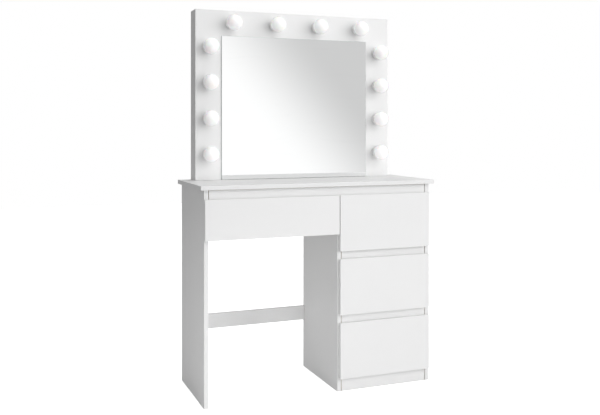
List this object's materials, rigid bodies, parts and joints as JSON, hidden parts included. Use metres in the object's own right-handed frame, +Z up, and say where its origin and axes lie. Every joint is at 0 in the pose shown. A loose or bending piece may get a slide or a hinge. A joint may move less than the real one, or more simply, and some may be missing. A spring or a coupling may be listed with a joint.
{
  "type": "vanity table with mirror",
  "caption": "White vanity table with a framed upright mirror lit by round bulbs, a wide drawer over the knee space and a handle-free drawer pedestal.",
  "frame": {"origin": "on the floor, under the middle of the desktop", "axes": "+Z up, +Y to the back where the mirror stands, +X to the right as someone faces the table"},
  "size_m": [0.9, 0.35, 1.394],
  "materials": {
    "white_board": "satin white faced board with matching edge band",
    "drawer_box_board": "matt white foil faced board",
    "white_hardboard": "matt white painted hardboard",
    "mirror_silver": "polished silvered float glass",
    "opal_bulb": "smooth opal white globe",
    "holder_plastic": "satin white moulded plastic",
    "runner_steel": "white epoxy coated folded steel",
    "inlet_plastic": "matt black moulded plastic"
  },
  "bodies": {
    "carcass": {"desktop": "white_board", "left_side_panel": "white_board", "inner_side_panel": "white_board", "right_side_panel": "white_board", "top_front_rail": "white_board", "upper_drawer_rail": "white_board", "lower_drawer_rail": "white_board", "plinth_board": "white_board", "pedestal_bottom": "white_board", "rear_stretcher": "white_board", "mirror_front_panel": "white_board", "mirror_left_board": "white_board", "mirror_right_board": "white_board", "mirror_top_board": "white_board", "mirror_bottom_board": "white_board", "pedestal_back": "white_hardboard", "mirror_back_cover": "white_hardboard", "mirror_glass": "mirror_silver", "lampholder_strip": "holder_plastic", "power_inlet": "inlet_plastic", "bulb_left_1": "opal_bulb", "bulb_left_2": "opal_bulb", "bulb_left_3": "opal_bulb", "bulb_left_4": "opal_bulb", "bulb_right_1": "opal_bulb", "bulb_right_2": "opal_bulb", "bulb_right_3": "opal_bulb", "bulb_right_4": "opal_bulb", "bulb_top_1": "opal_bulb", "bulb_top_2": "opal_bulb", "bulb_top_3": "opal_bulb", "bulb_top_4": "opal_bulb", "wide_drawer_runner_left": "runner_steel", "wide_drawer_runner_right": "runner_steel", "lower_drawer_runner_left": "runner_steel", "lower_drawer_runner_right": "runner_steel", "middle_drawer_runner_left": "runner_steel", "middle_drawer_runner_right": "runner_steel", "upper_drawer_runner_left": "runner_steel", "upper_drawer_runner_right": "runner_steel"},
    "wide_drawer": {"wide_drawer_front": "white_board", "wide_drawer_left_side": "drawer_box_board", "wide_drawer_right_side": "drawer_box_board", "wide_drawer_back": "drawer_box_board", "wide_drawer_bottom": "white_hardboard"},
    "lower_drawer": {"lower_drawer_front": "white_board", "lower_drawer_left_side": "drawer_box_board", "lower_drawer_right_side": "drawer_box_board", "lower_drawer_back": "drawer_box_board", "lower_drawer_bottom": "white_hardboard"},
    "middle_drawer": {"middle_drawer_front": "white_board", "middle_drawer_left_side": "drawer_box_board", "middle_drawer_right_side": "drawer_box_board", "middle_drawer_back": "drawer_box_board", "middle_drawer_bottom": "white_hardboard"},
    "upper_drawer": {"upper_drawer_front": "white_board", "upper_drawer_left_side": "drawer_box_board", "upper_drawer_right_side": "drawer_box_board", "upper_drawer_back": "drawer_box_board", "upper_drawer_bottom": "white_hardboard"}
  },
  "joints": [
    {"name": "wide_drawer_slide", "type": "slide", "parent": "carcass", "child": "wide_drawer", "axis": [0, -1, 0], "range_m": [0, 0.22]},
    {"name": "lower_drawer_slide", "type": "slide", "parent": "carcass", "child": "lower_drawer", "axis": [0, -1, 0], "range_m": [0, 0.22]},
    {"name": "middle_drawer_slide", "type": "slide", "parent": "carcass", "child": "middle_drawer", "axis": [0, -1, 0], "range_m": [0, 0.22]},
    {"name": "upper_drawer_slide", "type": "slide", "parent": "carcass", "child": "upper_drawer", "axis": [0, -1, 0], "range_m": [0, 0.22]}
  ]
}
